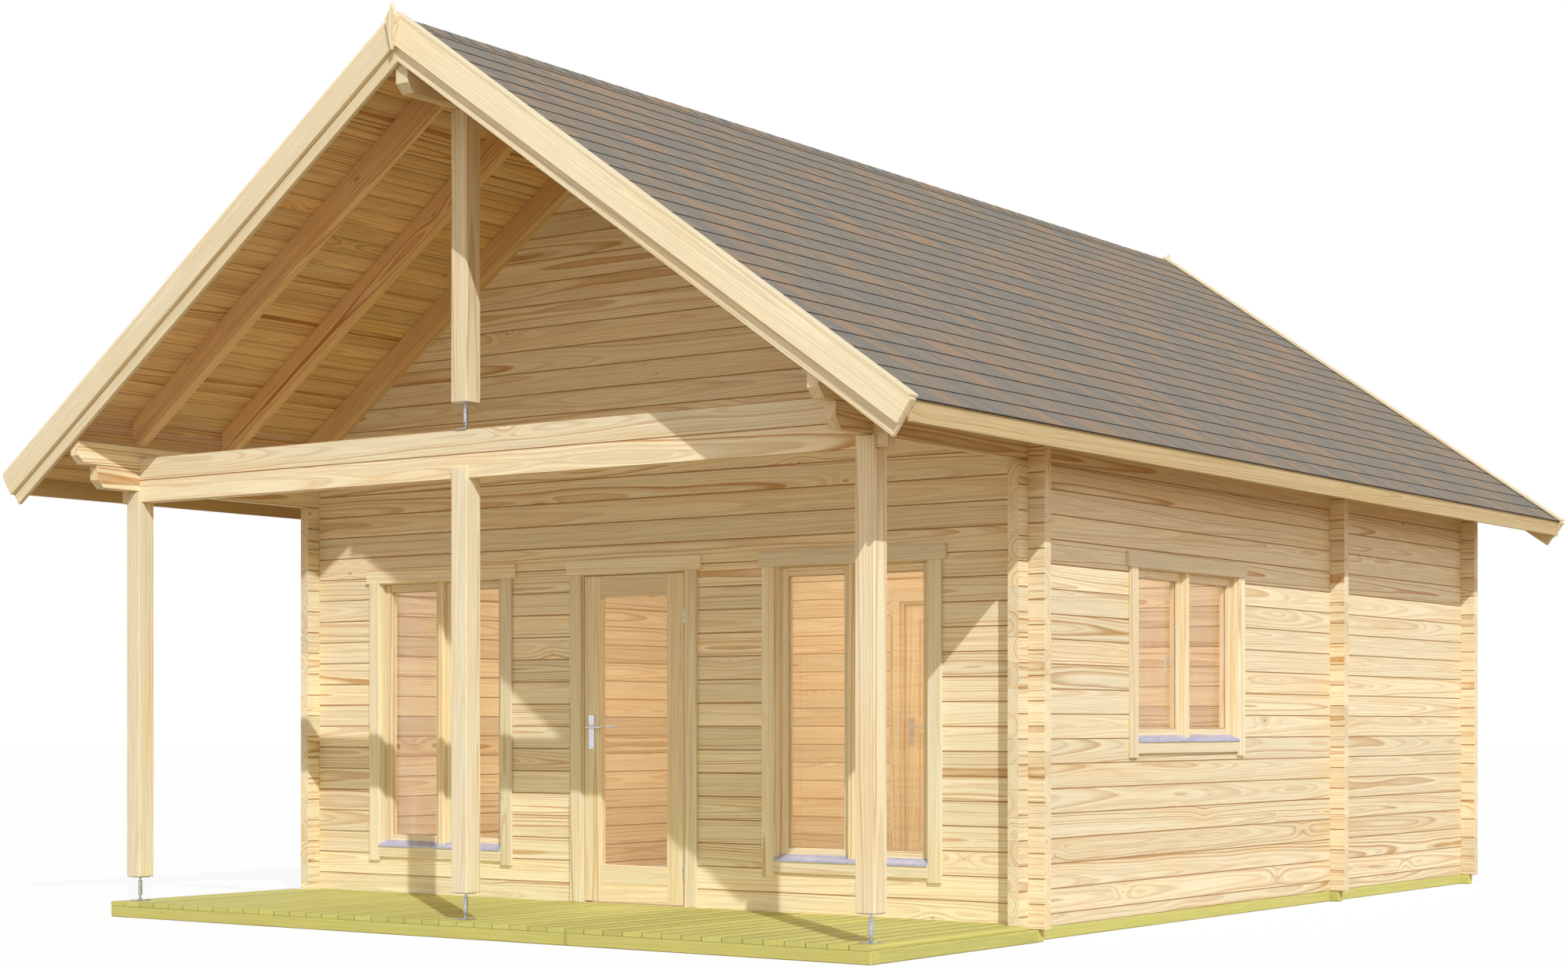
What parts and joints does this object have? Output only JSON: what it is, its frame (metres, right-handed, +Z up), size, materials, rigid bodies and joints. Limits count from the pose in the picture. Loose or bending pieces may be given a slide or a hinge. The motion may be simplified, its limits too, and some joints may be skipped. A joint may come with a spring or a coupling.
{
  "type": "log holiday cottage",
  "caption": "Holiday cottage with interlocking log walls, a deep gabled porch on posts, a shingled roof, casement windows, and hinged entrance and inner doors.",
  "frame": {"origin": "ground level under the middle of the whole building's box", "axes": "+X to the right as seen from the porch, +Y from the porch to the rear, +Z up"},
  "size_m": [6.726, 9.2866, 5.1592],
  "materials": {
    "log_pine": "planed, untreated",
    "planed_pine": "planed, untreated",
    "joinery_pine": "sanded",
    "treated_pine": "green pressure treated",
    "shingle": "mineral granules",
    "glass": "clear",
    "galvanised_steel": "galvanised",
    "satin_aluminium": "satin"
  },
  "bodies": {
    "house": {"front_wall_left": "log_pine", "front_wall_right": "log_pine", "front_wall_head": "log_pine", "front_gable": "log_pine", "left_wall": "log_pine", "right_wall": "log_pine", "rear_wall": "log_pine", "rear_gable": "log_pine", "partition_left": "log_pine", "partition_right": "log_pine", "partition_head": "log_pine", "left_eaves_logs": "log_pine", "right_eaves_logs": "log_pine", "tie_beam": "log_pine", "porch_posts": "planed_pine", "king_post": "planed_pine", "ridge_purlin": "planed_pine", "rafters": "planed_pine", "left_roof_deck": "planed_pine", "right_roof_deck": "planed_pine", "fascias": "planed_pine", "bargeboards": "planed_pine", "verge_caps": "planed_pine", "finials": "planed_pine", "room_floors": "planed_pine", "window_frames": "joinery_pine", "window_sashes": "joinery_pine", "window_casings": "joinery_pine", "door_frame": "joinery_pine", "door_casing": "joinery_pine", "partition_door_frame": "joinery_pine", "partition_door_casing": "joinery_pine", "foundation_beams": "treated_pine", "porch_floor": "treated_pine", "left_shingles": "shingle", "right_shingles": "shingle", "window_panes": "glass", "post_feet": "galvanised_steel", "door_hinge_pins": "galvanised_steel", "partition_door_hinge_pins": "galvanised_steel", "drip_rails": "satin_aluminium"},
    "entrance_door": {"door_leaf": "joinery_pine", "door_pane": "glass", "door_handle_plates": "satin_aluminium", "door_hinge_knuckles": "galvanised_steel"},
    "entrance_lever": {"door_lever": "satin_aluminium"},
    "partition_door": {"partition_door_leaf": "joinery_pine", "partition_door_handle_plates": "satin_aluminium", "partition_door_hinge_knuckles": "galvanised_steel"},
    "partition_lever": {"partition_door_lever": "satin_aluminium"}
  },
  "joints": [
    {"name": "entrance_door_hinge", "type": "hinge", "parent": "house", "child": "entrance_door", "pos_m": [0.398, -2.531, 1.13], "axis": [0, 0, 1], "range_deg": [0, 105]},
    {"name": "entrance_lever_turn", "type": "hinge", "parent": "entrance_door", "child": "entrance_lever", "pos_m": [-0.33, -2.501, 1.186], "axis": [0, 1, 0], "range_deg": [0, 40], "stiffness_Nm_per_rad": 1.5, "springref_deg": -20.05},
    {"name": "partition_door_hinge", "type": "hinge", "parent": "house", "child": "partition_door", "pos_m": [0.125, 1.625, 1.13], "axis": [0, 0, -1], "range_deg": [0, 100]},
    {"name": "partition_lever_turn", "type": "hinge", "parent": "partition_door", "child": "partition_lever", "pos_m": [-0.603, 1.595, 1.186], "axis": [0, 1, 0], "range_deg": [0, 40], "stiffness_Nm_per_rad": 1.5, "springref_deg": -20.05}
  ]
}
